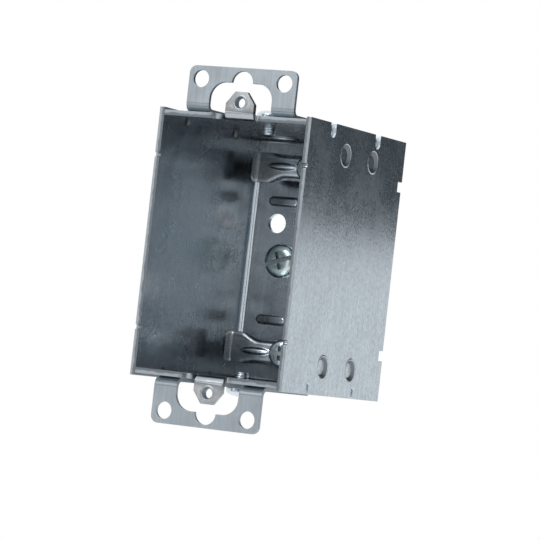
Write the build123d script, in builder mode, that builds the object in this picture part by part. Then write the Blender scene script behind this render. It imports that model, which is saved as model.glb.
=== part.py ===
from build123d import *

import os

# Galvanised steel switch box with plaster ears, inside cable clamps and a ground screw.
# Millimetres. The origin is the centre of the open front rim: +Y runs into the box, +Z is up.

# Sheet metal
sheet = 1.59
bend = 1.0
slide_gap = 0.05

# Box
inner_width = 46.04
box_depth = 63.5
body_height = 76.2

# Device tabs, bent from the front edges of the top and the bottom
tab_setback = 2.3
tab_width = 9.2
tab_crown_width = 3.8
tab_crown = 3.13
tab_shoulder_drop = 0.37
tab_relief = 0.5
tab_flare = 3.8
device_hole_spacing = 83.34
device_hole = 3.5
tab_collar = 5.8
tab_collar_rise = 0.9

# Back: ribs, mounting holes and the ground screw
rib_length = 10.4
rib_height = 3.0
rib_rise = 1.1
rib_wall = 0.8
rib_round = 0.7
rib_x = 12.4
rib_z = 18.0
rib_taper = 20
mount_hole = 5.9
mount_hole_x = 14.2
mount_hole_z = 11.3
ground_screw_x = 11.1
back_edge_gap = 1.45

# Cable knockouts in the top and the bottom
knockout = 13.0
knockout_x = 11.0
knockout_y = 49.5
knockout_rise = 0.45

# Sides
side_height = 77.7
corner_setback = 0.3
flange_width = 6.2
flange_height = 47.6
flange_bend = 0.4
flange_crown = 0.8
relief_height = 3.0
relief_depth = 3.0
top_slit_width = 3.3
top_slit_depth = 4.2
top_slits_y = (14.4, 43.9)
bottom_slit_width = 1.3
bottom_slit_depth = 3.4
bottom_slits_y = (16.0, 45.0)
dimple = 6.0
dimple_floor = 4.2
dimple_depth = 0.8
dimples_y = (24.2, 42.2)
dimple_z = 30.7
nick = 0.7
nick_z = 25.0

# Plaster ears
ear_sheet = 1.2
ear_bend = 1.5
ear_setback = 2.3
ear_width = 35.0
ear_reach = 13.6
ear_corner = 2.2
ear_opening_width = 20.2
ear_shoulder = 9.2
ear_opening_corner = 4.8
ear_notch = 6.8
ear_hole = 5.0
ear_hole_spacing = 27.0
ear_hole_reach = 9.8
ear_opening_depth = 11.0
ear_foot_depth = 31.0
ear_foot_corner = 3.0
ear_forward = 5.0
ear_back = 5.0

# Ear screws
small_shank = 4.17
small_head = 8.2
small_head_height = 2.3
ear_screw_y = 22.0
ear_screw_tip = 1.8
screw_clearance = 0.05
slot_clearance = 0.25

# Cable clamps, loosened on their screws as far as shown
clamp_sheet = 1.5
clamp_bend = 0.6
clamp_width = 38.0
clamp_height = 7.65
clamp_edge = 12.5
clamp_span = 7.8
clamp_lip = 2.7
clamp_notch = 2.2
wing_x = 12.5
wing_flare = 1.4
wing_corner = 0.9
heel_width = 10.0
bead_length = 9.8
bead_height = 2.4
bead_rise = 0.9
bead_wall = 0.6
bead_round = 0.5
bead_x = 9.2
clamp_screw_length = 15.875
upper_clamp_stand = 9.8
lower_clamp_stand = 14.3

# Ground screw
ground_shank = 4.83
ground_head = 10.4
ground_head_height = 2.6
ground_length = 6.35

# Screw recesses
slot_width = 1.3
slot_depth = 1.2
cross_width = 1.2
cross_share = 0.52
dome_share = 0.62
tip_chamfer = 0.4

# Worked out from the sizes above
side_inner = inner_width / 2
side_outer = side_inner + sheet
body_top = body_height / 2
body_inner_top = body_top - sheet
back_rear = box_depth - sheet
back_front = back_rear - sheet
tab_hole_z = device_hole_spacing / 2
tab_top = tab_hole_z + tab_crown
tab_shoulder = tab_hole_z - tab_shoulder_drop
tab_root = tab_setback + bend + sheet
ear_base = body_top + slide_gap
ear_top = body_top + ear_reach
upper_clamp_front = back_front - upper_clamp_stand
lower_clamp_front = back_front - lower_clamp_stand
clamp_inner_z = body_inner_top - clamp_edge
clamp_outer_z = clamp_inner_z + clamp_span
clamp_screw_z = (clamp_inner_z + clamp_outer_z) / 2
clamp_flat_low = clamp_inner_z + clamp_bend + clamp_sheet
clamp_flat_high = clamp_outer_z - clamp_bend - clamp_sheet
clamp_lip_half = wing_x - clamp_notch
flange_half = flange_height / 2

front_face = Plane.XZ
back_plane = Plane.XZ.offset(-back_front)
back_outside = Plane.XZ.offset(-back_rear)


def pan_screw(seat, shank, length, head, head_height):
    """Pan-head screw with a slot and a cross; its head stands on the seat plane and its shank goes below."""
    along = Axis(seat.origin, seat.z_dir)
    with BuildPart() as screw:
        with BuildSketch(seat):
            Circle(head / 2)
        extrude(amount=head_height)
        fillet(screw.edges().sort_by(along)[-1], head_height * dome_share)
        with BuildSketch(seat):
            Circle(shank / 2)
        extrude(amount=-length)
        chamfer(screw.edges().sort_by(along)[0], tip_chamfer)
        with BuildSketch(seat.offset(head_height)):
            Rectangle(head, slot_width)
            Rectangle(cross_width, head * cross_share)
        extrude(amount=-slot_depth, mode=Mode.SUBTRACT)
    return screw


def cable_clamp(front):
    """Upper cable clamp, its face at the depth front: flat wings, two beads, bent lips and a heel for the back."""
    with BuildPart() as clamp:
        with BuildSketch(Plane.YZ):
            with BuildLine():
                FilletPolyline(
                    (front + clamp_lip, clamp_inner_z),
                    (front, clamp_inner_z),
                    (front, clamp_outer_z),
                    (front + clamp_lip, clamp_outer_z),
                    radius=clamp_bend + clamp_sheet,
                )
                offset(amount=clamp_sheet, side=Side.RIGHT)
            make_face()
        extrude(amount=clamp_lip_half, both=True)

        # Flat web, with wings past the relief notches
        with BuildSketch(Plane.XZ.offset(-front)) as web:
            with Locations((0, (clamp_flat_low + clamp_flat_high) / 2)):
                Rectangle(clamp_width, clamp_flat_high - clamp_flat_low)
            for hand in (1, -1):
                Polygon(
                    (hand * wing_x, clamp_inner_z),
                    (hand * clamp_width / 2, clamp_inner_z - wing_flare),
                    (hand * clamp_width / 2, clamp_outer_z),
                    (hand * wing_x, clamp_outer_z),
                    align=None,
                )
            fillet(web.vertices().filter_by_position(Axis.X, wing_x + 1, clamp_width), wing_corner)
            fillet(web.vertices().filter_by_position(Axis.X, -clamp_width, -wing_x - 1), wing_corner)
        extrude(amount=-clamp_sheet)

        # Heel that meets the back when the clamp is tight
        with BuildSketch(Plane.XY.offset(clamp_inner_z)):
            heel_front = front + clamp_bend + clamp_sheet
            with Locations((0, (heel_front + front + clamp_height) / 2)):
                Rectangle(heel_width, front + clamp_height - heel_front)
        extrude(amount=clamp_sheet)

        # Beads, raised in front and hollow behind
        with BuildSketch(Plane.XZ.offset(-front)):
            with Locations((bead_x, clamp_screw_z), (-bead_x, clamp_screw_z)):
                SlotOverall(bead_length, bead_height)
        extrude(amount=bead_rise, taper=rib_taper)
        fillet(clamp.faces().sort_by(Axis.Y)[:2].edges(), bead_round)
        with BuildSketch(Plane.XZ.offset(-front - clamp_sheet)):
            with Locations((bead_x, clamp_screw_z), (-bead_x, clamp_screw_z)):
                SlotOverall(bead_length - 2 * bead_wall, bead_height - 2 * bead_wall)
        extrude(amount=bead_rise, mode=Mode.SUBTRACT)

        # Hole for the screw
        with BuildSketch(Plane.XZ.offset(-front)):
            with Locations((0, clamp_screw_z)):
                Circle(small_shank / 2 + screw_clearance)
        extrude(amount=-clamp_lip, mode=Mode.SUBTRACT)
    return clamp


# Device tab: a tongue of the top that bends up, with a tapped hole and its collar
with BuildPart() as device_tab:
    with BuildSketch(Plane.YZ):
        with BuildLine():
            FilletPolyline(
                (tab_root + sheet, body_inner_top),
                (tab_setback, body_inner_top),
                (tab_setback, tab_top),
                radius=bend + sheet,
            )
            offset(amount=sheet, side=Side.RIGHT)
        make_face()
    extrude(amount=tab_width / 2, both=True)
    with BuildSketch(front_face):
        Polygon(
            (-tab_width / 2, body_inner_top),
            (tab_width / 2, body_inner_top),
            (tab_width / 2, tab_shoulder),
            (tab_crown_width / 2, tab_top),
            (-tab_crown_width / 2, tab_top),
            (-tab_width / 2, tab_shoulder),
            align=None,
        )
    extrude(amount=-(tab_root + sheet), mode=Mode.INTERSECT)
    with BuildSketch(Plane.XZ.offset(-tab_setback - sheet)):
        with Locations((0, tab_hole_z)):
            Circle(tab_collar / 2)
    extrude(amount=-tab_collar_rise)
    with BuildSketch(Plane.XZ.offset(-tab_setback)):
        with Locations((0, tab_hole_z)):
            Circle(device_hole / 2)
    extrude(amount=-(sheet + tab_collar_rise), mode=Mode.SUBTRACT)

# Body: top, back and bottom folded from one sheet
with BuildPart() as box_body:
    with BuildSketch(Plane.YZ):
        with BuildLine():
            FilletPolyline(
                (0, body_top),
                (back_rear, body_top),
                (back_rear, -body_top),
                (0, -body_top),
                radius=bend + sheet,
            )
            offset(amount=sheet, side=Side.RIGHT)
        make_face()
    extrude(amount=inner_width / 2, both=True)

    # Front notches that free the tongues of the device tabs, with rounded corners
    notch_half = tab_width / 2 + tab_relief
    with BuildSketch(front_face):
        Rectangle(2 * notch_half, body_height)
    extrude(amount=-tab_root, mode=Mode.SUBTRACT)
    front_corners = box_body.edges().filter_by(Axis.Z).filter_by_position(Axis.Y, -bend, bend)
    fillet(front_corners.filter_by_position(Axis.X, -notch_half - bend, notch_half + bend), tab_flare)
    add(device_tab.part)
    mirror(device_tab.part, about=Plane.XY)

    # Edge gaps beside the bends of the side flanges
    with BuildSketch(back_outside):
        with Locations((side_inner, 0), (-side_inner, 0)):
            Rectangle(2 * back_edge_gap, flange_height + 2 * slide_gap)
    extrude(amount=sheet, mode=Mode.SUBTRACT)

    # Stamped ribs: raised inside, hollow outside
    with BuildSketch(back_plane):
        with GridLocations(2 * rib_x, 2 * rib_z, 2, 2):
            SlotOverall(rib_length, rib_height)
    extrude(amount=rib_rise, taper=rib_taper)
    rib_tops = box_body.faces().filter_by_position(Axis.Y, back_front - rib_rise - slide_gap, back_front - rib_wall)
    fillet(rib_tops.filter_by(Axis.Y).edges(), rib_round)
    with BuildSketch(back_outside):
        with GridLocations(2 * rib_x, 2 * rib_z, 2, 2):
            SlotOverall(rib_length - 2 * rib_wall, rib_height - 2 * rib_wall)
    extrude(amount=rib_rise, mode=Mode.SUBTRACT)

    # Cable knockouts, half sheared outwards
    for end in (1, -1):
        with BuildSketch(Plane.XY.offset(end * body_top)):
            with Locations((knockout_x, knockout_y), (-knockout_x, knockout_y)):
                Circle(knockout / 2)
        extrude(amount=end * knockout_rise)
        with BuildSketch(Plane.XY.offset(end * body_inner_top)):
            with Locations((knockout_x, knockout_y), (-knockout_x, knockout_y)):
                Circle(knockout / 2)
        extrude(amount=end * knockout_rise, mode=Mode.SUBTRACT)

    # Holes in the back: mounting, ground screw and clamp screws
    with BuildSketch(back_outside):
        with Locations((-mount_hole_x, mount_hole_z), (mount_hole_x, -mount_hole_z)):
            Circle(mount_hole / 2)
        with Locations((-ground_screw_x, 0)):
            Circle(ground_shank / 2 + screw_clearance)
        with Locations((0, clamp_screw_z), (0, -clamp_screw_z)):
            Circle(small_shank / 2 + screw_clearance)
    extrude(amount=sheet, mode=Mode.SUBTRACT)

    # Holes for the ear screws
    with BuildSketch(Plane.XY.offset(-body_top)):
        with Locations((0, ear_screw_y)):
            Circle(small_shank / 2 + screw_clearance)
    extrude(amount=body_height, mode=Mode.SUBTRACT)

# Right side: a flat plate with edge slits, and a flange that hooks behind the back
with BuildPart() as right_side:
    with BuildSketch(Plane.YZ.offset(side_inner)):
        side_depth = box_depth - corner_setback
        with Locations((side_depth / 2, 0)):
            Rectangle(side_depth, side_height)
        with Locations((box_depth, 0)):
            Rectangle(2 * relief_depth, flange_height + 2 * relief_height, mode=Mode.SUBTRACT)
        with Locations(*[(y, side_height / 2) for y in top_slits_y]):
            SlotOverall(2 * top_slit_depth, top_slit_width, rotation=90, mode=Mode.SUBTRACT)
        with Locations(*[(y, -side_height / 2) for y in bottom_slits_y]):
            SlotOverall(2 * bottom_slit_depth, bottom_slit_width, rotation=90, mode=Mode.SUBTRACT)
        with Locations((0, nick_z), (0, -nick_z)):
            Circle(nick, mode=Mode.SUBTRACT)
    extrude(amount=sheet)

    # Rear flange between the relief notches, its bend struck nearly sharp
    with BuildSketch(Plane.XY.offset(-flange_half)) as flange:
        with Locations((side_outer, box_depth)):
            Rectangle(flange_width, sheet, align=Align.MAX)
            Rectangle(sheet, relief_depth + sheet, align=Align.MAX)
        rear_corners = flange.vertices().group_by(Axis.Y)[-1]
        inside_corner = flange.vertices().filter_by_position(Axis.X, side_inner - bend, side_inner + slide_gap)
        fillet(rear_corners.sort_by(Axis.X)[-1], flange_crown)
        fillet(inside_corner.sort_by(Axis.Y)[-1], flange_bend)
    extrude(amount=flange_height)

    # Nail dimples, pressed into the outer face: sloped walls and a flat floor
    dimple_x = side_outer - dimple_depth / 2
    with Locations(*[(dimple_x, y, z) for y in dimples_y for z in (dimple_z, -dimple_z)]):
        Cone(dimple_floor / 2, dimple / 2, dimple_depth, rotation=(0, 90, 0), mode=Mode.SUBTRACT)

# Left side, the mirror image
with BuildPart() as left_side:
    mirror(right_side.part, about=Plane.YZ)

# Upper plaster ear: front plate, two legs and a slotted foot, folded from one sheet
with BuildPart() as upper_ear:
    with BuildSketch(Plane.YZ):
        with BuildLine():
            FilletPolyline(
                (ear_setback + ear_foot_depth, ear_base),
                (ear_setback, ear_base),
                (ear_setback, ear_top),
                radius=ear_bend + ear_sheet,
            )
            offset(amount=ear_sheet, side=Side.RIGHT)
        make_face()
    extrude(amount=ear_width / 2, both=True)
    fillet(upper_ear.edges().filter_by(Axis.Y).group_by(Axis.Z)[-1], ear_corner)
    fillet(upper_ear.edges().filter_by(Axis.Z).group_by(Axis.Y)[-1], ear_foot_corner)

    # Opening round the device tab, with its rounded shoulders and the notch in the middle
    with BuildSketch(Plane.XZ.offset(-ear_setback)) as opening:
        with Locations((0, body_top)):
            Rectangle(ear_opening_width, 2 * ear_shoulder)
        fillet(opening.vertices().group_by(Axis.Y)[-1], ear_opening_corner)
        with Locations((0, body_top + ear_shoulder)):
            Circle(ear_notch / 2)
    extrude(amount=-ear_opening_depth, mode=Mode.SUBTRACT)

    # Wall screw holes
    with BuildSketch(Plane.XZ.offset(-ear_setback)):
        with Locations((0, body_top + ear_hole_reach)):
            with GridLocations(ear_hole_spacing, 0, 2, 1):
                Circle(ear_hole / 2)
    extrude(amount=-ear_sheet, mode=Mode.SUBTRACT)

    # Slot for the ear screw: its length is the travel of the ear
    with BuildSketch(Plane.XY.offset(ear_base)):
        with Locations((0, ear_screw_y + (ear_forward - ear_back) / 2)):
            SlotCenterToCenter(ear_forward + ear_back, small_shank + 2 * slot_clearance, rotation=90)
    extrude(amount=ear_sheet, mode=Mode.SUBTRACT)

with BuildPart() as lower_ear:
    mirror(upper_ear.part, about=Plane.XY)

# Cable clamps
upper_clamp = cable_clamp(upper_clamp_front)
lower_form = cable_clamp(lower_clamp_front)
with BuildPart() as lower_clamp:
    mirror(lower_form.part, about=Plane.XY)

# Screws
upper_seat = Plane(origin=(0, upper_clamp_front - slide_gap, clamp_screw_z), x_dir=(1, 0, 0), z_dir=(0, -1, 0))
upper_clamp_screw = pan_screw(upper_seat, small_shank, clamp_screw_length, small_head, small_head_height)

lower_seat = Plane(origin=(0, lower_clamp_front - slide_gap, -clamp_screw_z), x_dir=(1, 0, 0), z_dir=(0, -1, 0))
lower_clamp_screw = pan_screw(lower_seat, small_shank, clamp_screw_length, small_head, small_head_height)

ear_seat = Plane.XY.offset(ear_base + ear_sheet + slide_gap).move(Location((0, ear_screw_y, 0)))
ear_screw_length = ear_seat.origin.Z - body_inner_top + ear_screw_tip
upper_ear_screw = pan_screw(ear_seat, small_shank, ear_screw_length, small_head, small_head_height)
with BuildPart() as lower_ear_screw:
    mirror(upper_ear_screw.part, about=Plane.XY)

ground_seat = Plane(origin=(-ground_screw_x, back_front - slide_gap, 0), x_dir=(1, 0, 0), z_dir=(0, -1, 0))
ground_screw = pan_screw(ground_seat, ground_shank, ground_length, ground_head, ground_head_height)

os.makedirs("parts", exist_ok=True)
pieces = {
    "box_body": box_body,
    "left_side": left_side,
    "right_side": right_side,
    "upper_ear": upper_ear,
    "lower_ear": lower_ear,
    "upper_ear_screw": upper_ear_screw,
    "lower_ear_screw": lower_ear_screw,
    "upper_clamp": upper_clamp,
    "lower_clamp": lower_clamp,
    "upper_clamp_screw": upper_clamp_screw,
    "lower_clamp_screw": lower_clamp_screw,
    "ground_screw": ground_screw,
}
for name, piece in pieces.items():
    piece.part.label = name
    export_step(piece.part, f"parts/{name}.step")
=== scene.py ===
import math

import bmesh
import bpy
from mathutils import Matrix, Vector


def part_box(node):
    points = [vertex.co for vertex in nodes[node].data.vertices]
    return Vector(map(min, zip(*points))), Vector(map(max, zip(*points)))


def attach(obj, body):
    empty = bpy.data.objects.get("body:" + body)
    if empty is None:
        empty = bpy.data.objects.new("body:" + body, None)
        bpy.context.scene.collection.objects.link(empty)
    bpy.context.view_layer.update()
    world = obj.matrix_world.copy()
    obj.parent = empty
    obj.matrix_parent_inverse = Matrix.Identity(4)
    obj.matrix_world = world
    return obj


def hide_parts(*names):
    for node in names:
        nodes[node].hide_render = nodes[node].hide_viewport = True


MM = 0.001

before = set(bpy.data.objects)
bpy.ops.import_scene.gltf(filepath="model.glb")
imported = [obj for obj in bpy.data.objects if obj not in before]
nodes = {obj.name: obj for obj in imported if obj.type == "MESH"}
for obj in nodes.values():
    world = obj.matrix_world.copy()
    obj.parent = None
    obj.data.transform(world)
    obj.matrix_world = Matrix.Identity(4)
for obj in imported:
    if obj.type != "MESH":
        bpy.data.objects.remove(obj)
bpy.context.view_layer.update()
scene = bpy.context.scene
scene.view_settings.view_transform = "Standard"

# Sizes below are in millimetres and turns in degrees, in the frame of the solids

# Camera, fitted to the corners of the box in the photograph
PICTURE_PX = 540.0
FOCAL_PX = 3160.8
CENTRE_PX = (-17.6, -17.0)
CAMERA_TURNS = (28.02, -2.11, 6.44)
TARGET = (0.0, 20.0, 0.0)
DISTANCE = 915.7
CLIP_START = 10.0
SENSOR = 36.0

# Stage
FLOOR_DROP = 300.0
FLOOR_RADIUS = 2500.0
FLOOR_CORNERS = 64
FLOOR_SHADE = 0.8
FLOOR_GLOW = 0.5
DIFFUSE_LIGHT = 0.6
# Dark and grey cards: centre, the point that the card faces, width, height, shade
CARDS = {
    "right_flag": ((104.7, 157.0, 125.0), (24.6, 30.0, 117.0), 320.0, 220.0, 0.13),
    "front_right": ((560.0, -1050.0, 0.0), (0.0, 30.0, 0.0), 1000.0, 1100.0, 0.28),
    "front_left": ((-620.0, -950.0, 0.0), (0.0, 30.0, 0.0), 1000.0, 1100.0, 0.5),
}
# Soft lamps: centre, target, width, height, watts
LAMPS = {
    "left_soft": ((-449.0, -748.0, 47.0), (0.0, 30.0, 0.0), 300.0, 400.0, 0.45),
    "top_soft": ((-150.0, -640.0, 480.0), (0.0, 30.0, -10.0), 350.0, 350.0, 2.5),
    "inner_soft": ((127.0, -238.0, 16.0), (0.0, 30.0, 0.0), 50.0, 40.0, 0.011),
}

# Nodes of the frame that are dressed or replaced; a clamp's number is the side of the middle it is on
SIDE_NODES = ("left_side", "right_side")
SHEET_NODES = ("box_body",) + SIDE_NODES
EAR_NODES = ("upper_ear", "lower_ear")
CLAMP_NODES = {"upper_clamp": 1, "lower_clamp": -1}

# Sheets of the body and the sides, as in the solids
SHEET = 1.59
SIDE_INSIDE = 23.02
SIDE_OUTSIDE = 24.61
BODY_INSIDE = 36.51
BODY_TOP = 38.1
FRONT_EDGE_DEPTH = 1.0
FLANGE_START = 60.4
FLANGE_HALF = 23.8
RIB_X = 12.4
RIB_Z = 18.0
RIB_REACH = (5.4, 1.7)
RIB_FRONT = 60.27
DIMPLES_Y = (24.2, 42.2)
DIMPLE_Z = 30.7
SLITS_Y = (14.4, 43.9)
SLIT_HALF = 1.65
SLIT_FLOOR = 34.0
SLIT_ZONE_Y = (5.0, 55.0)

# Shares of a face's normal along an axis, by which the faces of the sheets are sorted
FACES_AXIS = 0.9
BESIDE_AXIS = 0.3
LEANS_FORWARD = 0.5
DIMPLE_LEAN = (0.3, 0.95)
SLIT_LEAN = 0.99
# Places in the material lists: the first three on all sheets, then those of a side and those of the body
OUTSIDE, INSIDE, CUT_EDGE = range(3)
# Places for a side's dimple walls, painted as shade, its left slits, torn sheet darkened as painted shade,
# and its right slits, a painted highlight
SHADED_DIMPLE_WALL, TORN_SHADED_SLIT, PAINTED_BRIGHT_SLIT = range(3, 6)
# Places for the body's tabs, which take painted shade, and its ribs, which take painted highlight and shade
TAB, RIB = range(3, 5)

# Rounding of edges
WELD_GAP = 0.001
FLAT_ANGLE = 0.5
SHEET_ROUND = 0.12
CLAMP_ROUND = 0.15
SCREW_ROUND = 0.07
ROUND_SEGMENTS = 2
SHEET_ROUND_ANGLE = 35.0
PIECE_ROUND_ANGLE = 60.0
SHEET_SHARP_ANGLE = 50.0
TURNED_SHARP_ANGLE = 40.0

# Seams in the rear corners
SEAM_WIDTH = 1.4
SEAM_FRONT = 59.85
SEAM_REAR = 61.8
SEAM_SLOPE = 0.375
SEAM_BULGE = 0.02
SEAM_GROOVE = (0.52, 0.62)
SEAM_GROOVE_DEPTH = 0.5
SEAM_HALF = 23.7
SEAM_STEPS = 24

# Burrs in the left side's upper slits
BURR_REACH = 0.8
BURR_WAVER = 0.15
BURR_RIPPLES = (2.6, 1.1)
BURR_ROOT = 0.35
BURR_FOOT = 33.9
BURR_STEPS = 14

# Tapped holes of the device tabs
TAB_FRONT = 2.3
TAB_DEPTH = 2.49
TAB_HOLE = 3.5
TAB_HOLE_Z = 41.67
TAB_GAP = 0.01
TAB_RIM = 4.7
TAB_RIM_RISE = 0.16
# Points of the rolled rim: distance in from its edge, share of its rise; then the share at the hole
TAB_RIM_CURVE = ((0.12, 0.7), (0.35, 1.0))
TAB_RIM_LIP = 0.5
TAB_PITCH = 0.79375
TAB_THREAD = 0.3
TAB_ROOT = 0.05
# Shares of a turn at which a ridge starts, reaches its crest and leaves it
TAB_RIDGE = (0.1, 0.5, 0.6)

# Cable clamps
CLAMP_HALF = 19.0
CLAMP_INNER = 24.01
CLAMP_OUTER = 31.81
CLAMP_SHEET = 1.5
CLAMP_LIP = 2.7
CLAMP_WING = (8.0, 15.0)
CLAMP_WING_LIP = 0.5
CLAMP_POWER = 5.5
CLAMP_FLARE = 1.4
CLAMP_CORNER = 0.9
CLAMP_CURL = 1.2
CLAMP_CURL_START = 17.2
CLAMP_HOLE = 2.2
CLAMP_STEPS = (120, 48)
HEEL_HALF = 5.1
HEEL_DEPTH = 7.65
HEEL_STEPS = 4
BEAD_X = 9.2
BEAD_HALF = 4.9
BEAD_HALF_HEIGHT = 1.35
BEAD_RISE = 0.9
BEAD_POWER = 1.5

# Screws
SCREW_PITCH = 0.79375
THREAD_DEPTH = 0.42
THREAD_FLAT = 1.35
THREAD_TIP = 0.25
TURN_STEPS = 40
PITCH_STEPS = 8
HEAD_STEPS = 64
HEAD_EDGE = 0.15
DOME_SHARE = 0.62
CROWN_POWER = 0.7
CROWN_STEPS = 12
RECESS_DEPTH = 1.2
RECESS_LIFT = 0.2
RECESS_BELOW = 0.12
RECESS_REACH = 0.97
# Slot and cross: width, length as a share of the head's diameter, width of the floor as a share
RECESSES = ((1.3, 1.1, 0.92), (1.2, 0.52, 0.7))
# Kinds of screw: head height, shank diameter, turn of the slot, material slot
SMALL_SCREW = (2.3, 4.17, 0.0, "screw_zinc")
GROUND_SCREW = (2.6, 4.83, 18.0, "ground_zinc")
# Screw nodes: the way that the head faces, and the kind
SCREWS = {
    "upper_ear_screw": ((0, 0, 1), SMALL_SCREW),
    "lower_ear_screw": ((0, 0, -1), SMALL_SCREW),
    "upper_clamp_screw": ((0, -1, 0), SMALL_SCREW),
    "lower_clamp_screw": ((0, -1, 0), SMALL_SCREW),
    "ground_screw": ((0, -1, 0), GROUND_SCREW),
}

# Tints of the zinc
NEUTRAL = (1.0, 1.0, 1.0)
BLUISH = (0.905, 1.0, 1.075)
SIDE_TINT = (0.875, 1.0, 1.09)
INSIDE_TINT = (0.925, 1.0, 1.06)
TAB_TINT = (0.98, 1.0, 1.015)
TEAL = (0.88, 1.02, 1.02)
# Painted shade that fades in along one axis, on the clamps' wings, the ribs' outer ends, the tabs' bends and
# the top and bottom inside the box: axis, distances from the middle at which it starts and ends, shade
CLAMP_WING_PAINTED_SHADE = ("X", 6.0, 12.5, 0.28)
RIB_END_PAINTED_SHADE = ("X", 7.5, 13.0, 0.22)
TAB_BEND_PAINTED_SHADE = ("Z", 40.5, 38.5, 0.15)
INSIDE_PAINTED_SHADE = ("Z", 28.0, 42.0, 0.38)
# Range that most values of a noise fall in
USUAL_NOISE = (0.3, 0.7)
EVEN = (1, 1, 1)

# Hot-dipped sheet outside and inside the box
OUTER_ZINC = {
    "tint": SIDE_TINT,
    "shades": (0.40, 0.64),
    "gloss": (0.22, 0.34),
    "mottle": 0.3,
    "spangle_depth": 0.05,
    "wave_depth": 0.15,
}
INNER_ZINC = {
    "tint": INSIDE_TINT,
    "shades": (0.42, 0.66),
    "gloss": (0.19, 0.29),
    "mottle": 0.08,
    "spangle_depth": 0.003,
    "wave_depth": 0.45,
}
GRAIN_SHARE = 0.5
LINE_SHARE = 0.18
LINE_DEPTH = 0.012
SPANGLE_GLOSS = 0.03
DIMPLE_RIM = 3.3
DIMPLE_RIM_WIDTH = 0.36
DIMPLE_RIM_RISE = 0.16

# Sheared edges, painted highlight of the seams, dull plate, pressed sheet and plated screws
TORN_SHADES = (0.14, 0.26)
BURNISHED_SHADES = (0.30, 0.46)
SHEAR_GLOSS = (0.48, 0.30)
SHEAR_WANDER = 0.25
SHEAR_BLEND = 0.1
SHEAR_DEPTH = 0.02
SEAM_HIGHLIGHT_SHADES = (0.84, 1.0)
SEAM_HIGHLIGHT_GLOSS = (0.14, 0.22)
SEAM_HIGHLIGHT_DEPTH = 0.01
BRUSH_SHARE = 0.2
BRUSH_DEPTH = 0.008
DULL_GLOSS = (0.38, 0.50)
# Painted shade lines across the ears at their bends: heights, width and strength
BEND_SHADE_LINES = (40.8, 39.9, 39.2)
SHADE_LINE_WIDTH = 0.22
SHADE_LINE_STRENGTH = 0.9
PRESSED_GLOSS = (0.18, 0.32)
PRESSED_DEPTH = 0.03
PRESSED_GRAIN = 0.006
SCREW_GLOSS = (0.16, 0.30)
SCREW_GRAIN = 0.01


def make_camera():
    azimuth, elevation, roll = (math.radians(a) for a in CAMERA_TURNS)
    back = Vector((math.sin(azimuth) * math.cos(elevation),
                   -math.cos(azimuth) * math.cos(elevation),
                   math.sin(elevation)))
    right = Vector((math.cos(azimuth), math.sin(azimuth), 0.0))
    up = back.cross(right)
    turned_right = right * math.cos(roll) + up * math.sin(roll)
    turned_up = up * math.cos(roll) - right * math.sin(roll)
    data = bpy.data.cameras.new("camera")
    data.sensor_width = SENSOR
    data.lens = SENSOR * FOCAL_PX / PICTURE_PX
    data.shift_x = -CENTRE_PX[0] / PICTURE_PX
    data.shift_y = CENTRE_PX[1] / PICTURE_PX
    data.clip_start = CLIP_START * MM
    camera = bpy.data.objects.new("camera", data)
    axes = Matrix((turned_right, turned_up, back)).transposed().to_4x4()
    place = (Vector(TARGET) + back * DISTANCE) * MM
    camera.matrix_world = Matrix.Translation(place) @ axes
    scene.collection.objects.link(camera)
    scene.camera = camera


# Node helpers

def feed(tree, socket, value):
    """Links a socket to another node's output, or sets it to a number or a colour."""
    if isinstance(value, bpy.types.NodeSocket):
        tree.links.new(value, socket)
    else:
        socket.default_value = value


def combine(tree, operation, first, second=0.0):
    """The result of a Math node."""
    joined = tree.nodes.new("ShaderNodeMath")
    joined.operation = operation
    feed(tree, joined.inputs[0], first)
    feed(tree, joined.inputs[1], second)
    return joined.outputs[0]


def shown_ray(tree):
    """A value of 1 for rays from the camera, from reflections and through glass."""
    path = tree.nodes.new("ShaderNodeLightPath")
    seen = combine(tree, "MAXIMUM", path.outputs["Is Camera Ray"], path.outputs["Is Glossy Ray"])
    return combine(tree, "MAXIMUM", seen, path.outputs["Is Transmission Ray"])


def spread(tree, value, low, high, to_low, to_high):
    """Maps value from low..high to to_low..to_high, held at the ends."""
    ranged = tree.nodes.new("ShaderNodeMapRange")
    tree.links.new(value, ranged.inputs["Value"])
    for name, number in (("From Min", low), ("From Max", high), ("To Min", to_low), ("To Max", to_high)):
        ranged.inputs[name].default_value = number
    return ranged.outputs["Result"]


def spread_noise(tree, pattern, to_low, to_high):
    """Maps the usual range of a noise to to_low..to_high."""
    return spread(tree, pattern, *USUAL_NOISE, to_low, to_high)


def stretched(tree, stretch):
    """Object coordinates, scaled along each axis."""
    place = tree.nodes.new("ShaderNodeTexCoord")
    mapping = tree.nodes.new("ShaderNodeMapping")
    tree.links.new(place.outputs["Object"], mapping.inputs["Vector"])
    mapping.inputs["Scale"].default_value = stretch
    return mapping.outputs["Vector"]


def along_axis(tree, axis):
    """Object coordinate along one axis."""
    place = tree.nodes.new("ShaderNodeSeparateXYZ")
    tree.links.new(stretched(tree, EVEN), place.inputs["Vector"])
    return place.outputs[axis]


def from_middle(tree, axis):
    """Distance from the middle of the box along one axis."""
    return combine(tree, "ABSOLUTE", along_axis(tree, axis))


def noise(tree, size, stretch=EVEN, detail=4.0, roughness=0.55):
    """Noise whose features are about size millimetres, shorter where stretch is above 1."""
    texture = tree.nodes.new("ShaderNodeTexNoise")
    tree.links.new(stretched(tree, stretch), texture.inputs["Vector"])
    texture.inputs["Scale"].default_value = 1.0 / (size * MM)
    texture.inputs["Detail"].default_value = detail
    texture.inputs["Roughness"].default_value = roughness
    return texture.outputs["Fac"]


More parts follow.
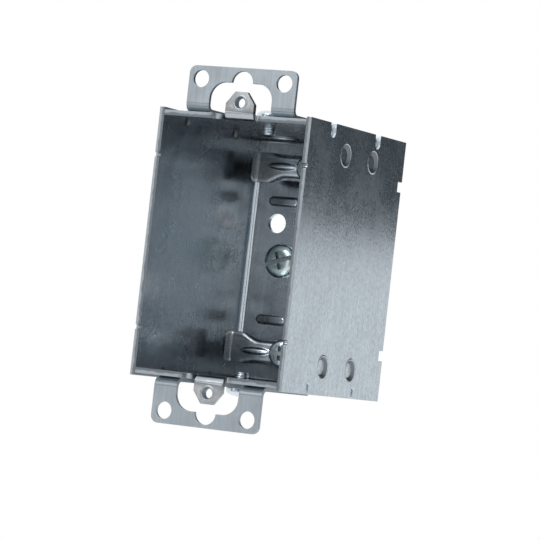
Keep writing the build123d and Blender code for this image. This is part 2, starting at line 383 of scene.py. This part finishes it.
def crystals(tree, size):
    """A random value for each zinc crystal, about size millimetres across."""
    texture = tree.nodes.new("ShaderNodeTexVoronoi")
    tree.links.new(stretched(tree, EVEN), texture.inputs["Vector"])
    texture.inputs["Scale"].default_value = 1.0 / (size * MM)
    texture.inputs["Randomness"].default_value = 1.0
    split = tree.nodes.new("ShaderNodeSeparateColor")
    tree.links.new(texture.outputs["Color"], split.inputs["Color"])
    return split.outputs["Red"]


def blend_colours(tree, factor, low, high):
    """A mix of two colours: low where factor is 0, high where it is 1."""
    mixed = tree.nodes.new("ShaderNodeMix")
    mixed.data_type = "RGBA"
    feed(tree, mixed.inputs["Factor"], factor)
    feed(tree, mixed.inputs["A"], low)
    feed(tree, mixed.inputs["B"], high)
    return mixed.outputs["Result"]


def bump(tree, height, depth, normal=None):
    """Raises the surface by up to depth millimetres where height is 1."""
    raised = tree.nodes.new("ShaderNodeBump")
    raised.inputs["Distance"].default_value = depth * MM
    tree.links.new(height, raised.inputs["Height"])
    if normal is not None:
        tree.links.new(normal, raised.inputs["Normal"])
    return raised.outputs["Normal"]


def grey(level, tint=NEUTRAL):
    return (level * tint[0], level * tint[1], level * tint[2], 1.0)


def shaded(tree, factor, shades, tint):
    """A tinted grey between two shades."""
    return blend_colours(tree, factor, grey(shades[0], tint), grey(shades[1], tint))


def paint_shade_along(tree, colour, fade, tint):
    """Paints shade into a colour along one axis, between two distances from the middle."""
    axis, start, end, shade = fade
    dark = spread(tree, from_middle(tree, axis), start * MM, end * MM, 0.0, 1.0)
    return blend_colours(tree, dark, colour, grey(shade, tint))


def metal(name):
    """A metallic material and its node tree."""
    material = bpy.data.materials.new(name)
    material.use_nodes = True
    material.node_tree.nodes["Principled BSDF"].inputs["Metallic"].default_value = 1.0
    return material, material.node_tree


def surface(tree, colour, gloss, normal):
    """Links the colour, roughness and relief of a material to its shader."""
    shader = tree.nodes["Principled BSDF"]
    tree.links.new(colour, shader.inputs["Base Color"])
    tree.links.new(gloss, shader.inputs["Roughness"])
    tree.links.new(normal, shader.inputs["Normal"])


# Materials

def dimple_rims(tree):
    """1 on the pressed rims round a side's nail dimples, falling to 0 beside them."""
    depth = along_axis(tree, "Y")
    up = combine(tree, "SUBTRACT", from_middle(tree, "Z"), DIMPLE_Z * MM)
    up_square = combine(tree, "MULTIPLY", up, up)
    rims = 0.0
    for y in DIMPLES_Y:
        along = combine(tree, "SUBTRACT", depth, y * MM)
        squares = combine(tree, "ADD", combine(tree, "MULTIPLY", along, along), up_square)
        apart = combine(tree, "SUBTRACT", combine(tree, "SQRT", squares), DIMPLE_RIM * MM)
        apart = combine(tree, "ABSOLUTE", apart)
        rim = spread(tree, apart, 0.0, DIMPLE_RIM_WIDTH * MM, 1.0, 0.0)
        rims = combine(tree, "MAXIMUM", rims, rim)
    return rims


def make_galvanised(name, tint, shades, gloss, mottle, spangle_depth, wave_depth, rims=False, fade=None):
    """Hot-dipped sheet: fine zinc crystals, cloudy patches and rolling lines along the height."""
    material, tree = metal(name)
    spangle = noise(tree, size=0.7, stretch=(1, 1, 0.6), detail=3.0, roughness=0.6)
    grains = crystals(tree, size=1.2)
    cloud = noise(tree, size=14.0, detail=6.0, roughness=0.65)
    lines = noise(tree, size=0.5, stretch=(1, 1, 0.02), detail=3.0)
    wave = noise(tree, size=15.0, stretch=(1, 1, 0.8), detail=2.0)

    grain = GRAIN_SHARE * mottle
    tone = spread_noise(tree, cloud, *USUAL_NOISE)
    tone = combine(tree, "ADD", tone, spread_noise(tree, spangle, -mottle, mottle))
    tone = combine(tree, "ADD", tone, spread(tree, grains, 0.0, 1.0, -grain, grain))
    tone = combine(tree, "ADD", tone, spread_noise(tree, lines, -LINE_SHARE, LINE_SHARE))
    colour = shaded(tree, tone, shades, tint)
    # Painted shade along one axis, where a fade is given
    if fade is not None:
        colour = paint_shade_along(tree, colour, fade, tint)

    rough = spread_noise(tree, cloud, *gloss)
    rough = combine(tree, "ADD", rough, spread_noise(tree, spangle, -SPANGLE_GLOSS, SPANGLE_GLOSS))

    relief = bump(tree, wave, wave_depth)
    relief = bump(tree, lines, LINE_DEPTH, relief)
    relief = bump(tree, spangle, spangle_depth, relief)
    if rims:
        relief = bump(tree, dimple_rims(tree), DIMPLE_RIM_RISE, relief)
    surface(tree, colour, rough, relief)
    return material


def make_sheared(name, axis, inside):
    """Cut edge of a sheet: a burnished band by the outer face, a duller torn band by the inner face."""
    material, tree = metal(name)
    reach = SHEAR_WANDER * MM
    wander = spread_noise(tree, noise(tree, size=3.0, detail=3.0), -reach, reach)
    across = combine(tree, "ADD", from_middle(tree, axis), wander)
    middle = (inside + SHEET / 2) * MM
    band = spread(tree, across, middle - SHEAR_BLEND * MM, middle + SHEAR_BLEND * MM, 0.0, 1.0)
    marks = noise(tree, size=0.3, detail=3.0)
    torn = shaded(tree, marks, TORN_SHADES, BLUISH)
    burnished = shaded(tree, marks, BURNISHED_SHADES, BLUISH)
    colour = blend_colours(tree, band, torn, burnished)
    surface(tree, colour, spread(tree, band, 0.0, 1.0, *SHEAR_GLOSS), bump(tree, marks, SHEAR_DEPTH))
    return material


def make_seam_highlight(name):
    """Painted highlight for the rounded seam edges: a near-white copy of the zinc, smoother, with faint
    lengthwise lines.
    """
    material, tree = metal(name)
    lines = noise(tree, size=0.4, stretch=(1, 1, 0.05), detail=3.0)
    colour = shaded(tree, lines, SEAM_HIGHLIGHT_SHADES, BLUISH)
    surface(tree, colour, spread_noise(tree, lines, *SEAM_HIGHLIGHT_GLOSS), bump(tree, lines, SEAM_HIGHLIGHT_DEPTH))
    return material


def make_dull_sheet(name, shades, bend_shade_lines=()):
    """Duller grey plate with fine brushing along the height, and painted shade lines at the bends, at the
    given heights.
    """
    material, tree = metal(name)
    lines = noise(tree, size=0.4, stretch=(1, 1, 0.04), detail=4.0)
    cloud = noise(tree, size=9.0, detail=5.0)
    tone = combine(tree, "ADD", spread_noise(tree, lines, -BRUSH_SHARE, BRUSH_SHARE), cloud)
    for shade_line in bend_shade_lines:
        apart = combine(tree, "SUBTRACT", from_middle(tree, "Z"), shade_line * MM)
        apart = combine(tree, "ABSOLUTE", apart)
        tone = combine(tree, "SUBTRACT", tone, spread(tree, apart, 0.0, SHADE_LINE_WIDTH * MM, SHADE_LINE_STRENGTH, 0.0))
    colour = shaded(tree, tone, shades, BLUISH)
    surface(tree, colour, spread_noise(tree, cloud, *DULL_GLOSS), bump(tree, lines, BRUSH_DEPTH))
    return material


def make_pressed_sheet(name, shades, fade, tint):
    """Pressed sheet: smooth bright zinc with forming marks, with painted shade towards one end."""
    material, tree = metal(name)
    cloud = spread_noise(tree, noise(tree, size=5.0, detail=5.0, roughness=0.6), 0.0, 1.0)
    grain = noise(tree, size=0.6, stretch=(0.2, 1, 1), detail=3.0)
    colour = paint_shade_along(tree, shaded(tree, cloud, shades, tint), fade, tint)
    relief = bump(tree, grain, PRESSED_GRAIN, bump(tree, cloud, PRESSED_DEPTH))
    surface(tree, colour, spread(tree, cloud, 0.0, 1.0, *PRESSED_GLOSS), relief)
    return material


def make_screw_metal(name, shades, tint):
    """Plated screw: fine turning marks and a slightly uneven plate."""
    material, tree = metal(name)
    grain = noise(tree, size=0.5, detail=4.0)
    plate = noise(tree, size=2.5, detail=3.0)
    colour = shaded(tree, plate, shades, tint)
    surface(tree, colour, spread_noise(tree, plate, *SCREW_GLOSS), bump(tree, grain, SCREW_GRAIN))
    return material


# Stage

def make_world():
    world = bpy.data.worlds.new("studio")
    scene.world = world
    world.use_nodes = True
    tree = world.node_tree
    background = tree.nodes["Background"]
    background.inputs["Color"].default_value = grey(1.0)
    strength = spread(tree, shown_ray(tree), 0.0, 1.0, DIFFUSE_LIGHT, 1.0)
    tree.links.new(strength, background.inputs["Strength"])


def plate_object(name, corners, material):
    """A flat stage piece with the given corners."""
    mesh = bpy.data.meshes.new(name)
    mesh.from_pydata(corners, [], [range(len(corners))])
    mesh.materials.append(material)
    plate = bpy.data.objects.new(name, mesh)
    scene.collection.objects.link(plate)
    return plate


def matt(name, colour):
    """A rough material of one colour, for the stage alone, and its shader."""
    material = bpy.data.materials.new(name)
    material.use_nodes = True
    shader = material.node_tree.nodes["Principled BSDF"]
    shader.inputs["Base Color"].default_value = colour
    shader.inputs["Roughness"].default_value = 1.0
    return material, shader


def make_floor():
    material, shader = matt("floor", grey(FLOOR_SHADE))
    shader.inputs["Emission Color"].default_value = grey(1.0)
    tree = material.node_tree
    glow = spread(tree, shown_ray(tree), 0.0, 1.0, 0.0, FLOOR_GLOW)
    tree.links.new(glow, shader.inputs["Emission Strength"])
    radius = FLOOR_RADIUS * MM
    angles = (math.tau * i / FLOOR_CORNERS for i in range(FLOOR_CORNERS))
    rim = [(radius * math.cos(a), radius * math.sin(a), -FLOOR_DROP * MM) for a in angles]
    plate_object("floor", rim, material)


def facing(centre, target):
    """Axes of something at centre that looks at target along its own -Z."""
    turn = (Vector(target) - Vector(centre)).to_track_quat("-Z", "Y").to_matrix().to_4x4()
    return Matrix.Translation(Vector(centre) * MM) @ turn


def make_cards():
    for name, (centre, target, width, height, shade) in CARDS.items():
        material, shader = matt(name, grey(shade, BLUISH))
        shader.inputs["Specular IOR Level"].default_value = 0.0
        w, h = width * MM / 2, height * MM / 2
        card = plate_object(name, [(-w, -h, 0), (w, -h, 0), (w, h, 0), (-w, h, 0)], material)
        card.matrix_world = facing(centre, target)
        card.visible_camera = False


def make_lamps():
    for name, (centre, target, width, height, watts) in LAMPS.items():
        data = bpy.data.lights.new(name, "AREA")
        data.shape = "RECTANGLE"
        data.size = width * MM
        data.size_y = height * MM
        data.energy = watts
        lamp = bpy.data.objects.new(name, data)
        lamp.matrix_world = facing(centre, target)
        lamp.visible_camera = False
        scene.collection.objects.link(lamp)


# Sheet-metal nodes

def dress(node, materials):
    """Gives a node its list of materials."""
    node.data.materials.clear()
    for material in materials:
        node.data.materials.append(material)


def round_edges(piece, width, angle):
    """Rounds the edges of a piece at which its faces turn by more than an angle."""
    edge = piece.modifiers.new("edge", "BEVEL")
    edge.width = width * MM
    edge.segments = ROUND_SEGMENTS
    edge.limit_method = "ANGLE"
    edge.angle_limit = math.radians(angle)


def even_normals(piece):
    """Keeps flat faces flat beside rounded edges."""
    normals = piece.modifiers.new("normals", "WEIGHTED_NORMAL")
    normals.keep_sharp = False


def soften_edges(node):
    """Joins the facets of a sheet node and rounds its sharp edges a little."""
    weld = node.modifiers.new("weld", "WELD")
    weld.merge_threshold = WELD_GAP * MM
    flat = node.modifiers.new("flat", "DECIMATE")
    flat.decimate_type = "DISSOLVE"
    flat.angle_limit = math.radians(FLAT_ANGLE)
    flat.delimit = {"MATERIAL"}
    round_edges(node, SHEET_ROUND, SHEET_ROUND_ANGLE)
    even_normals(node)


def sort_faces(node, kind):
    """Gives each face of a node the material whose place in the list kind returns."""
    for face in node.data.polygons:
        face.material_index = kind(face)


def side_kind(face):
    """The place in a side's material list for one of its faces."""
    across = face.normal.x * math.copysign(1.0, face.center.x)
    behind = face.center.y > FLANGE_START * MM
    # The dimples' walls take painted shade
    if DIMPLE_LEAN[0] < across < DIMPLE_LEAN[1] and not behind:
        return SHADED_DIMPLE_WALL
    by_slits = (abs(face.center.z) > SLIT_FLOOR * MM
                and SLIT_ZONE_Y[0] < face.center.y / MM < SLIT_ZONE_Y[1])
    if by_slits and abs(across) < BESIDE_AXIS and abs(face.normal.z) < SLIT_LEAN:
        # Left slits take torn sheet darkened as painted shade, right slits a painted highlight
        return TORN_SHADED_SLIT if face.center.x < 0 else PAINTED_BRIGHT_SLIT
    flange_face = behind and abs(face.center.z) < FLANGE_HALF * MM
    if abs(face.normal.z) > FACES_AXIS or abs(across) < BESIDE_AXIS and not flange_face:
        return CUT_EDGE
    return INSIDE if across < 0 or face.normal.y < -FACES_AXIS else OUTSIDE


def body_kind(face):
    """The place in the body's material list for one of its faces."""
    # The tabs' faces take the tabs' painted shade
    if abs(face.center.z) > (BODY_TOP + SHEET / 2) * MM:
        return TAB
    at_front = face.normal.y < -FACES_AXIS and face.center.y < FRONT_EDGE_DEPTH * MM
    if abs(face.normal.x) > FACES_AXIS or at_front:
        return CUT_EDGE
    # The ribs' faces take the ribs' painted highlight and shade
    apart = (abs(abs(face.center.x) - RIB_X * MM), abs(abs(face.center.z) - RIB_Z * MM))
    if all(a < reach * MM for a, reach in zip(apart, RIB_REACH)) and face.center.y < RIB_FRONT * MM:
        return RIB
    return INSIDE if face.normal.y < -LEANS_FORWARD or face.normal.z * face.center.z < 0 else OUTSIDE


# Mesh helpers

def mesh_of(fill, name):
    """A mesh that fill draws, with its faces turned outwards."""
    bm = bmesh.new()
    fill(bm)
    bmesh.ops.recalc_face_normals(bm, faces=bm.faces)
    mesh = bpy.data.meshes.new(name)
    bm.to_mesh(mesh)
    bm.free()
    return mesh


def skin(bm, rings):
    """Faces between neighbouring closed rings of equally many points."""
    for ring, following in zip(rings, rings[1:]):
        for i in range(len(ring)):
            j = (i + 1) % len(ring)
            bm.faces.new((ring[i], ring[j], following[j], following[i]))


def smooth(mesh, sharp_angle):
    mesh.shade_smooth()
    mesh.set_sharp_from_angle(angle=math.radians(sharp_angle))


def add_box_piece(name, fill, material, sharp_angle):
    """A piece that rides on the box, in the given material."""
    mesh = mesh_of(fill, name)
    mesh.materials.append(material)
    smooth(mesh, sharp_angle)
    piece = bpy.data.objects.new(name, mesh)
    scene.collection.objects.link(piece)
    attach(piece, "box")


# Seams, tapped holes and burrs

def make_seam(name, hand, material):
    """The rounded edge of a side's flange, where it shows in the gap beside the back, with its fold line."""
    profile = [(hand * SIDE_INSIDE, SEAM_REAR)]
    for i in range(SEAM_STEPS + 1):
        share = i / SEAM_STEPS
        front = SEAM_FRONT + SEAM_SLOPE * share - SEAM_BULGE * math.sin(math.pi * share)
        if SEAM_GROOVE[0] < share < SEAM_GROOVE[1]:
            front += SEAM_GROOVE_DEPTH
        profile.append((hand * (SIDE_INSIDE - SEAM_WIDTH * share), front))
    profile.append((hand * (SIDE_INSIDE - SEAM_WIDTH), SEAM_REAR))

    def fill(bm):
        ends = []
        for z in (-SEAM_HALF, SEAM_HALF):
            ends.append([bm.verts.new((x * MM, y * MM, z * MM)) for x, y in profile])
        skin(bm, ends)
        for end in ends:
            bm.faces.new(end)

    add_box_piece(name, fill, material, SHEET_SHARP_ANGLE)


def make_tab_thread(name, z, material):
    """The rolled rim and the thread of a device tab's hole, turned about the hole's axis."""
    outer = TAB_HOLE / 2 - TAB_GAP
    inner = outer - TAB_THREAD
    edge = TAB_RIM / 2
    front, rear = TAB_FRONT, TAB_FRONT + TAB_DEPTH
    profile = [(outer, rear), (outer, front - TAB_GAP), (edge, front - TAB_GAP)]
    profile += [(edge - inwards, front - TAB_RIM_RISE * share) for inwards, share in TAB_RIM_CURVE]
    profile.append((outer, front - TAB_RIM_RISE * TAB_RIM_LIP))
    for i in range(int(TAB_DEPTH / TAB_PITCH)):
        start, crest, end = (front + (i + share) * TAB_PITCH for share in TAB_RIDGE)
        profile += [(outer - TAB_ROOT, start), (inner, crest), (inner, end)]
    profile.append((outer - TAB_ROOT, rear))

    def fill(bm):
        rings = []
        for i in range(TURN_STEPS):
            a = math.tau * i / TURN_STEPS
            points = [(r * math.cos(a), y, z + r * math.sin(a)) for r, y in profile]
            rings.append([bm.verts.new(Vector(point) * MM) for point in points])
        skin(bm, rings + rings[:1])

    add_box_piece(name, fill, material, TURNED_SHARP_ANGLE)


def make_slit_burrs(name, hand, material):
    """Ragged burrs at the rear of a side's upper slits, along its outer face."""
    outside = hand * SIDE_OUTSIDE
    fast, slow = BURR_RIPPLES

    def fill(bm):
        for slit in SLITS_Y:
            root = slit + SLIT_HALF
            rings = []
            for k in range(BURR_STEPS + 1):
                z = BURR_FOOT + (BODY_TOP - BURR_FOOT) * k / BURR_STEPS
                reach = BURR_REACH + BURR_WAVER * math.sin(fast * k) * math.cos(slow * k + slit)
                corners = ((outside, root), (outside, root - reach), (outside - hand * BURR_ROOT, root))
                rings.append([bm.verts.new((x * MM, y * MM, z * MM)) for x, y in corners])
            skin(bm, rings)
            bm.faces.new(rings[0])
            bm.faces.new(rings[-1])

    add_box_piece(name, fill, material, SHEET_SHARP_ANGLE)


# Cable clamps

def eased(value, low, high):
    """0 below low, 1 above high, with a smooth change between."""
    share = min(1.0, max(0.0, (value - low) / (high - low)))
    return share * share * (3.0 - 2.0 * share)


def clamp_point(x, share):
    """Depth and height of a clamp's front face; share goes from -1 at its inner edge to 1 at its outer."""
    away = abs(x)
    wing = eased(away, *CLAMP_WING)
    corner = max(0.0, away - CLAMP_HALF + CLAMP_CORNER)
    trim = CLAMP_CORNER - math.sqrt(max(0.0, CLAMP_CORNER ** 2 - corner ** 2))
    inner = CLAMP_INNER - CLAMP_FLARE * wing + trim
    outer = CLAMP_OUTER - trim
    z = (inner + outer) / 2 + share * (outer - inner) / 2
    depth = (CLAMP_LIP + (CLAMP_WING_LIP - CLAMP_LIP) * wing) * abs(share) ** CLAMP_POWER
    depth -= CLAMP_CURL * max(0.0, (away - CLAMP_CURL_START) / (CLAMP_HALF - CLAMP_CURL_START)) ** 2
    along = (away - BEAD_X) / BEAD_HALF
    if abs(along) < 1:
        lens = math.sqrt(1 - along ** 2)
        across = (z - (CLAMP_INNER + CLAMP_OUTER) / 2) / (BEAD_HALF_HEIGHT * lens)
        if abs(across) < 1:
            depth -= BEAD_RISE * lens * (1 - across ** 2) ** BEAD_POWER
    return depth, z


def clamp_spots(front):
    """Points of a clamp's front face by column and row, with its heel in the rows below 0."""
    columns, rows = CLAMP_STEPS
    spots = {}
    for i in range(columns + 1):
        x = CLAMP_HALF * (2 * i / columns - 1)
        for j in range(rows + 1):
            depth, z = clamp_point(x, 2 * j / rows - 1)
            spots[i, j] = (x, front + depth, z)
        if abs(x) <= HEEL_HALF:
            for j in range(1, HEEL_STEPS + 1):
                depth = CLAMP_LIP + (HEEL_DEPTH - CLAMP_LIP) * j / HEEL_STEPS
                spots[i, -j] = (x, front + depth, CLAMP_INNER)
    return spots


def clamp_cells(spots):
    """Cells of a clamp's face round its screw hole; the hole's rim in spots is moved onto its circle."""
    middle = (CLAMP_INNER + CLAMP_OUTER) / 2
    kept, rim = [], set()
    for i, j in spots:
        cell = [(i, j), (i + 1, j), (i + 1, j + 1), (i, j + 1)]
        if not all(corner in spots for corner in cell):
            continue
        x = sum(spots[corner][0] for corner in cell) / len(cell)
        z = sum(spots[corner][2] for corner in cell) / len(cell)
        if j >= 0 and math.hypot(x, z - middle) < CLAMP_HOLE:
            rim.update(cell)
        else:
            kept.append(cell)
    for corner in rim & {corner for cell in kept for corner in cell}:
        x, y, z = spots[corner]
        scale = CLAMP_HOLE / math.hypot(x, z - middle)
        spots[corner] = (x * scale, y, middle + (z - middle) * scale)
    return kept


def make_clamp(node, hand, material):
    """A pressed cable clamp: bent lips that fade into the wings, tapered beads, a heel and a screw hole."""
    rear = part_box(node)[1][1] / MM
    spots = clamp_spots(rear - HEEL_DEPTH)
    cells = clamp_cells(spots)
    used = sorted({corner for cell in cells for corner in cell})
    order = {corner: k for k, corner in enumerate(used)}
    points = [(x * MM, y * MM, hand * z * MM) for x, y, z in (spots[corner] for corner in used)]
    faces = [[order[corner] for corner in (cell if hand > 0 else cell[::-1])] for cell in cells]
    mesh = bpy.data.meshes.new(f"{node}_pressed")
    mesh.from_pydata(points, [], faces)
    mesh.materials.append(material)
    mesh.shade_smooth()
    clamp = bpy.data.objects.new(f"{node}_pressed", mesh)
    scene.collection.objects.link(clamp)
    sheet = clamp.modifiers.new("sheet", "SOLIDIFY")
    sheet.thickness = CLAMP_SHEET * MM
    sheet.offset = -1.0
    round_edges(clamp, CLAMP_ROUND, PIECE_ROUND_ANGLE)
    even_normals(clamp)
    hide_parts(node)
    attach(clamp, node)


# Screws

def revolve(bm, profile, steps):
    """A closed solid turned about Z from (radius, height) points that start and end on the axis."""
    rings = []
    for radius, height in profile:
        if radius == 0:
            rings.append([bm.verts.new((0, 0, height))])
            continue
        angles = (math.tau * i / steps for i in range(steps))
        rings.append([bm.verts.new((radius * math.cos(a), radius * math.sin(a), height)) for a in angles])
    for low, high in zip(rings, rings[1:]):
        for i in range(steps):
            j = (i + 1) % steps
            corners = [low[i % len(low)], low[j % len(low)], high[j % len(high)], high[i % len(high)]]
            bm.faces.new(dict.fromkeys(corners))


def crown_height(angle, height):
    """Height of a head's crown at an angle up from its rim."""
    crown = height * DOME_SHARE
    return height - crown + crown * math.sin(angle)


def head_profile(radius, height):
    """Pan head: a short wall below an elliptical crown."""
    angles = (math.pi / 2 * i / CROWN_STEPS for i in range(CROWN_STEPS))
    arc = [(radius * math.cos(a) ** CROWN_POWER, crown_height(a, height)) for a in angles]
    edge = HEAD_EDGE * MM
    return [(0, 0), (radius - edge, 0), (radius, edge)] + arc + [(0, height)]


def cut_recess(bm, width, length, floor_share, top):
    """A tapered cutter for a slot: full width above the top of the head, narrower at its floor."""
    verts = []
    for height, share in ((top + RECESS_LIFT * MM, 1.0), (top - RECESS_DEPTH * MM, floor_share)):
        for x, y in ((-1, -1), (1, -1), (1, 1), (-1, 1)):
            verts.append(bm.verts.new((x * length / 2, y * width / 2 * share, height)))
    for face in ((0, 1, 2, 3), (7, 6, 5, 4), (0, 4, 5, 1), (1, 5, 6, 2), (2, 6, 7, 3), (3, 7, 4, 0)):
        bm.faces.new([verts[i] for i in face])


def thread(bm, radius, length, pitch):
    """A shank below Z 0 with a helical thread, its crests at the given radius, tapered at the tip."""
    count = math.ceil(length / pitch * PITCH_STEPS)
    rings = []
    for k in range(count + 1):
        depth = length * k / count
        lead = min(1.0, (length - depth) / pitch + THREAD_TIP)
        ring = []
        for i in range(TURN_STEPS):
            phase = (depth / pitch + i / TURN_STEPS) % 1.0
            ridge = 1.0 - abs(2.0 * phase - 1.0)
            r = radius - THREAD_DEPTH * MM * (1.0 - min(1.0, THREAD_FLAT * ridge) * lead)
            a = math.tau * i / TURN_STEPS
            ring.append(bm.verts.new((r * math.cos(a), r * math.sin(a), -depth)))
        rings.append(ring)
    skin(bm, rings[::-1])
    bm.faces.new(rings[-1])


def cut_head(name, radius, height):
    """The screw head with its slot and cross cut out, as a mesh."""
    profile = head_profile(radius, height)
    head = bpy.data.objects.new(name, mesh_of(lambda bm: revolve(bm, profile, HEAD_STEPS), name))
    scene.collection.objects.link(head)
    cutters = []
    for i, (width, length_share, floor_share) in enumerate(RECESSES):
        length = 2 * radius * length_share
        mesh = mesh_of(lambda bm: cut_recess(bm, width * MM, length, floor_share, height), name)
        cutter = bpy.data.objects.new(f"{name}_cut_{i}", mesh)
        cutter.rotation_euler.z = i * math.pi / 2
        scene.collection.objects.link(cutter)
        cut = head.modifiers.new("cut", "BOOLEAN")
        cut.object = cutter
        cut.solver = "EXACT"
        cutters.append(cutter)
    shaped = bpy.data.meshes.new_from_object(head.evaluated_get(bpy.context.evaluated_depsgraph_get()))
    for spare in cutters + [head]:
        bpy.data.objects.remove(spare)
    return shaped


def mark_recess(bm, radius, height):
    """Gives the faces below the crown of a head, in its slot and cross, the second material."""
    for face in bm.faces:
        middle = face.calc_center_median()
        share = min(1.0, math.hypot(middle.x, middle.y) / radius)
        crown = crown_height(math.acos(share ** (1 / CROWN_POWER)), height)
        if 0 < middle.z < crown - RECESS_BELOW * MM and share < RECESS_REACH:
            face.material_index = 1


def make_screw(node, materials):
    """A screw with a crowned head and a thread, in the place of its plain node."""
    axis, (head_height, shank, turn, slot) = SCREWS[node]
    axis = Vector(axis)
    low, high = (Vector(corner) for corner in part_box(node))
    along = max(range(3), key=lambda i: abs(axis[i]))
    head_end = high[along] if axis[along] > 0 else low[along]
    length = high[along] - low[along] - head_height * MM
    seat = (low + high) / 2
    seat[along] = head_end - axis[along] * head_height * MM
    head_radius = (high.x - low.x) / 2

    bm = bmesh.new()
    bm.from_mesh(cut_head(node, head_radius, head_height * MM))
    mark_recess(bm, head_radius, head_height * MM)
    thread(bm, shank * MM / 2, length, SCREW_PITCH * MM)
    bm.transform(Matrix.Rotation(math.radians(turn), 4, "Z"))
    side = Vector((1, 0, 0))
    bm.transform(Matrix((side, axis.cross(side), axis)).transposed().to_4x4())
    bm.transform(Matrix.Translation(seat))
    mesh = bpy.data.meshes.new(f"{node}_turned")
    bm.to_mesh(mesh)
    bm.free()
    mesh.materials.append(materials[slot])
    mesh.materials.append(materials["recess"])
    smooth(mesh, TURNED_SHARP_ANGLE)
    screw = bpy.data.objects.new(f"{node}_turned", mesh)
    scene.collection.objects.link(screw)
    round_edges(screw, SCREW_ROUND, PIECE_ROUND_ANGLE)
    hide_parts(node)
    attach(screw, node)


make_camera()
make_world()
make_floor()
make_cards()
make_lamps()

galvanised = make_galvanised("galvanised", **OUTER_ZINC)
galvanised_side = make_galvanised("galvanised_side", **OUTER_ZINC, rims=True)
# Inside the box: zinc with painted shade towards the top and the bottom
galvanised_inside_and_shade = make_galvanised("galvanised_inside_and_shade", **INNER_ZINC, fade=INSIDE_PAINTED_SHADE)
# The corner seams in a near-white copy of the zinc, as painted highlight
seam_highlight = make_seam_highlight("seam_highlight")
side_edge = make_sheared("side_edge", "X", SIDE_INSIDE)
body_edge = make_sheared("body_edge", "Z", BODY_INSIDE)
dull_sheet = make_dull_sheet("dull_sheet", (0.35, 0.49))
# Ears with painted shade lines at their bends
ear_sheet = make_dull_sheet("ear_sheet", (0.30, 0.50), BEND_SHADE_LINES)
# Torn sheet, darkened further as painted shade, in the left side's slits and on their burrs
torn_and_shaded_sheet = make_dull_sheet("torn_and_shaded_sheet", (0.06, 0.14))
# A near-white copy of the zinc as painted highlight in the right side's slits
slit_painted_highlight = make_dull_sheet("slit_painted_highlight", (0.84, 0.98))
# A dark copy of the zinc as painted shade on the dimples' walls
dimple_wall_shade = make_dull_sheet("dimple_wall_shade", (0.16, 0.24))
# The clamps' own bright plating, with painted shade on their wings
clamp_sheet = make_pressed_sheet("clamp_sheet", (0.55, 0.90), CLAMP_WING_PAINTED_SHADE, INSIDE_TINT)
# A brighter copy of the inside zinc as painted highlight on the ribs, with painted shade towards their outer
# ends
rib_highlight_and_shade = make_pressed_sheet("rib_highlight_and_shade", (0.60, 0.95), RIB_END_PAINTED_SHADE, INSIDE_TINT)
# A darker copy of the zinc as painted shade on the tabs, darkest at their bends
tab_painted_shade = make_pressed_sheet("tab_painted_shade", (0.20, 0.54), TAB_BEND_PAINTED_SHADE, TAB_TINT)
screw_metals = {
    "screw_zinc": make_screw_metal("screw_zinc", (0.62, 0.82), BLUISH),
    "ground_zinc": make_screw_metal("ground_zinc", (0.60, 0.85), TEAL),
    # Screw slots and crosses in a darker copy of the plating, as painted shade
    "recess": make_screw_metal("recess", (0.26, 0.52), TEAL),
}

dress(nodes["box_body"], [galvanised, galvanised_inside_and_shade, body_edge, tab_painted_shade, rib_highlight_and_shade])
sort_faces(nodes["box_body"], body_kind)
for name in SIDE_NODES:
    dress(nodes[name], [galvanised_side, galvanised_inside_and_shade, side_edge, dimple_wall_shade, torn_and_shaded_sheet, slit_painted_highlight])
    sort_faces(nodes[name], side_kind)
for name in EAR_NODES:
    dress(nodes[name], [ear_sheet])
for name in SHEET_NODES + EAR_NODES:
    soften_edges(nodes[name])
for name, hand in CLAMP_NODES.items():
    make_clamp(name, hand, clamp_sheet)
for name in SCREWS:
    make_screw(name, screw_metals)
make_seam("left_corner_seam", -1, seam_highlight)
make_seam("right_corner_seam", 1, seam_highlight)
make_slit_burrs("left_slit_burrs", -1, torn_and_shaded_sheet)
make_tab_thread("upper_tab_thread", TAB_HOLE_Z, dull_sheet)
make_tab_thread("lower_tab_thread", -TAB_HOLE_Z, dull_sheet)
